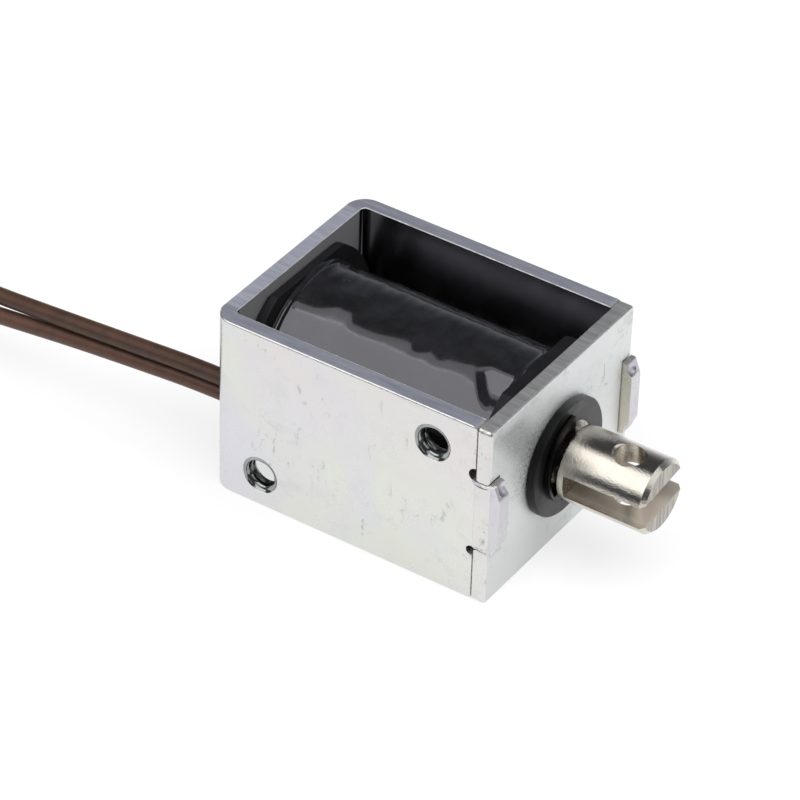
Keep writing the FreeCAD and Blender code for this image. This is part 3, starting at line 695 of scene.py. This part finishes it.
def thread(name, x, z):
    around = 96
    deep = 40
    points = []
    for j in range(deep + 1):
        depth = MOUTH_SUNK + THREAD_DEPTH * j / deep
        root = max(MOUTH_RADIUS - depth, THREAD_ROOT)
        for i in range(around):
            turn = 2 * math.pi * i / around
            wave = (depth / THREAD_PITCH + i / around) % 1
            crest = max(0, 1 - abs(2 * wave - 1) * 1.25)
            radius = root - (root - THREAD_CREST) * crest * rise(MOUTH_SUNK, 0.2, depth)
            y = -HALF_WIDTH / MM + depth
            points.append(Vector((x + radius * math.cos(turn), y, z + radius * math.sin(turn))) * MM)
    place(add_mesh(name, points, ring_faces(deep + 1, around)), "root", "zinc_steel", SHADED_CUT_THREAD)


thread("thread_rear", -14.0, 3.7)
thread("thread_front", 5.8, 16.7)


# Burr left by the shear along the inner rim, in millimetres
RIM_X = -18.32
RIM_Y = 11.03
RIM_Z = 20.53
RIM_FRONT = 10.6
RIM_BEND = 0.62


def burr():
    bend_x = RIM_X + RIM_BEND
    bend_y = RIM_Y - RIM_BEND
    side = [RIM_FRONT + (bend_x - RIM_FRONT) * i / 90 for i in range(91)]
    turns = [math.radians(90 * i / 12) for i in range(1, 12)]
    path = [(x, -RIM_Y) for x in side]
    path += [(bend_x - RIM_BEND * math.sin(t), -bend_y - RIM_BEND * math.cos(t)) for t in turns]
    path += [(RIM_X, -bend_y + 2 * bend_y * i / 60) for i in range(61)]
    path += [(bend_x - RIM_BEND * math.cos(t), bend_y + RIM_BEND * math.sin(t)) for t in turns]
    path += [(x, RIM_Y) for x in reversed(side)]
    path = [Vector((x, y, RIM_Z)) for x, y in path]
    upright = Vector((0, 0, 1))
    points = []
    thick = 0.05
    for before, here, after in zip(path[:1] + path, path, path[1:] + path[-1:]):
        across = (after - before).normalized().cross(upright)
        thick += 0.3 * (random.uniform(0.045, 0.085) - thick)
        points += tube_ring(here, across, upright, thick)
    place(add_mesh("rim_burr", points, tube_faces(len(path))), "root", "zinc_steel", BURR)


burr()


# Metal squeezed up at the near tab's neck, and dark strips beside it that are painted shadow
BEAD_STEPS = 40


def bead(name, path, thick, look):
    path = [Vector(p) for p in path]
    points = []
    for i in range(BEAD_STEPS + 1):
        share = i / BEAD_STEPS * (len(path) - 1)
        k = min(int(share), len(path) - 2)
        swell = math.sin(math.pi * (0.06 + 0.88 * i / BEAD_STEPS)) ** 0.5
        size = thick * swell * random.uniform(0.85, 1.15)
        way = (path[k + 1] - path[k]).normalized()
        across = way.cross(Vector((0, 1, 0))).normalized()
        points += tube_ring(path[k].lerp(path[k + 1], share - k), across, across.cross(way), size)
    place(add_mesh(name, points, tube_faces(BEAD_STEPS + 1)), "root", "zinc_steel", look)


# Dark strips along the neck, painted shadow under the squeezed metal
PAINTED_NECK_SHADOW = polymer("painted shadow in the neck", (0.05, 0.05, 0.055), (0.02, 0.02, 0.022), 0.4, 0.6)
bead("tab_bead_upper", [(10.35, -12.67, 14.25), (10.75, -12.67, 14.08), (11.26, -12.67, 14.05),
                        (12.0, -12.67, 14.15), (12.5, -12.70, 14.33), (13.1, -12.64, 14.72)], 0.15, BURR)
bead("tab_neck_shadow_upper", [(10.4, -12.66, 14.0), (11.0, -12.66, 13.83), (11.6, -12.66, 13.84),
                        (12.35, -12.66, 14.02)], 0.07, PAINTED_NECK_SHADOW)
bead("tab_bead_lower", [(10.9, -12.67, 6.52), (11.6, -12.67, 6.40), (12.3, -12.67, 6.26)], 0.12, BURR)
bead("tab_neck_shadow_lower", [(11.0, -12.66, 6.30), (11.6, -12.66, 6.20), (12.2, -12.66, 6.08)], 0.05, PAINTED_NECK_SHADOW)


# Floor, lamps and world
def floor():
    piece = add_mesh("floor", [(-0.15, -0.11, 0), (0.11, -0.11, 0), (0.11, 0.11, 0), (-0.15, 0.11, 0)],
                     [(0, 1, 2, 3)])
    material = bpy.data.materials.new("floor")
    material.use_nodes = True
    tree = material.node_tree
    tree.nodes.clear()
    output = tree.nodes.new("ShaderNodeOutputMaterial")
    matt = tree.nodes.new("ShaderNodeBsdfDiffuse")
    matt.inputs["Color"].default_value = (0.9, 0.9, 0.9, 1)
    glow = tree.nodes.new("ShaderNodeEmission")
    glow.inputs["Color"].default_value = (1, 1, 1, 1)
    glow.inputs["Strength"].default_value = 1.0
    seen = tree.nodes.new("ShaderNodeLightPath")
    share = tree.nodes.new("ShaderNodeMath")
    share.operation = "MULTIPLY"
    share.inputs[1].default_value = 0.72
    mixed = tree.nodes.new("ShaderNodeMixShader")
    total = seen.outputs["Is Camera Ray"]
    for ray in ("Is Glossy Ray", "Is Transmission Ray"):
        added = tree.nodes.new("ShaderNodeMath")
        added.operation = "ADD"
        added.use_clamp = True
        tree.links.new(total, added.inputs[0])
        tree.links.new(seen.outputs[ray], added.inputs[1])
        total = added.outputs["Value"]
    tree.links.new(total, share.inputs[0])
    tree.links.new(share.outputs["Value"], mixed.inputs["Fac"])
    tree.links.new(matt.outputs["BSDF"], mixed.inputs[1])
    tree.links.new(glow.outputs["Emission"], mixed.inputs[2])
    tree.links.new(mixed.outputs["Shader"], output.inputs["Surface"])
    piece.data.materials.append(material)


def world():
    # Dim studio room: bright paper near the horizon behind the object, darker above and at the front
    made = bpy.data.worlds.new("studio")
    bpy.context.scene.world = made
    made.use_nodes = True
    tree = made.node_tree
    sky = tree.nodes["Background"]
    where = tree.nodes.new("ShaderNodeTexCoord")
    parts = tree.nodes.new("ShaderNodeSeparateXYZ")
    tree.links.new(where.outputs["Generated"], parts.inputs["Vector"])

    def ranged(source, low, high, out_low, out_high):
        node = tree.nodes.new("ShaderNodeMapRange")
        for socket, value in zip(("From Min", "From Max", "To Min", "To Max"),
                                 (low, high, out_low, out_high)):
            node.inputs[socket].default_value = value
        tree.links.new(source, node.inputs["Value"])
        return node.outputs["Result"]

    def joined(operation, a, b):
        node = tree.nodes.new("ShaderNodeMath")
        node.operation = operation
        tree.links.new(a, node.inputs[0])
        if isinstance(b, float):
            node.inputs[1].default_value = b
        else:
            tree.links.new(b, node.inputs[1])
        return node.outputs["Value"]

    low = joined("POWER", ranged(parts.outputs["Z"], 0.0, 0.62, 1.0, 0.0), 2.0)
    far = ranged(parts.outputs["Y"], -0.25, 0.45, 0.03, 0.62)
    level = joined("ADD", joined("MULTIPLY", low, far), 0.07)
    seen = tree.nodes.new("ShaderNodeLightPath")
    strength = joined("MAXIMUM", level, seen.outputs["Is Camera Ray"])
    tree.links.new(strength, sky.inputs["Strength"])
    tint = tree.nodes.new("ShaderNodeMix")
    tint.data_type = "RGBA"
    tint.inputs["A"].default_value = (0.93, 0.97, 1.04, 1)
    tint.inputs["B"].default_value = (1, 1, 1, 1)
    tree.links.new(seen.outputs["Is Camera Ray"], tint.inputs["Factor"])
    tree.links.new(tint.outputs["Result"], sky.inputs["Color"])


def lamp(name, way, distance, width, height, radiance, color=(1, 1, 1)):
    # Softbox at a distance in metres, its width along X as far as its tilt allows
    data = bpy.data.lights.new(name, "AREA")
    data.shape = "RECTANGLE"
    data.size = width
    data.size_y = height
    data.energy = radiance * math.pi * width * height
    data.color = color
    piece = bpy.data.objects.new(name, data)
    bpy.context.scene.collection.objects.link(piece)
    back = Vector(way).normalized()
    up = back.cross(Vector((1, 0, 0))).normalized()
    right = up.cross(back)
    piece.matrix_world = (Matrix.Translation(Vector(way) * distance)
                          @ Matrix((right, up, back)).transposed().to_4x4())
    return piece


def tilted(degrees, along):
    # Direction at an angle from the top towards the tapped wall, and a way along X
    turn = math.radians(degrees)
    return (along, -math.sin(turn), math.cos(turn))


floor()
world()
lamp("softbox far edge", tilted(6.5, -0.45), 0.7, 0.8, 0.13, 0.85)
lamp("main softbox", tilted(33, -0.45), 0.7, 0.8, 0.58, 1.6)
lamp("softbox near edge", tilted(60, -0.45), 0.7, 0.8, 0.17, 1.05)
lamp("side softbox", tilted(-12, 1.1), 0.8, 1.1, 1.1, 0.9)
lamp("overhead fill", tilted(5, 0.35), 0.9, 1.0, 1.0, 3.4).visible_glossy = False

view_settings = bpy.context.scene.view_settings
view_settings.view_transform = "Standard"
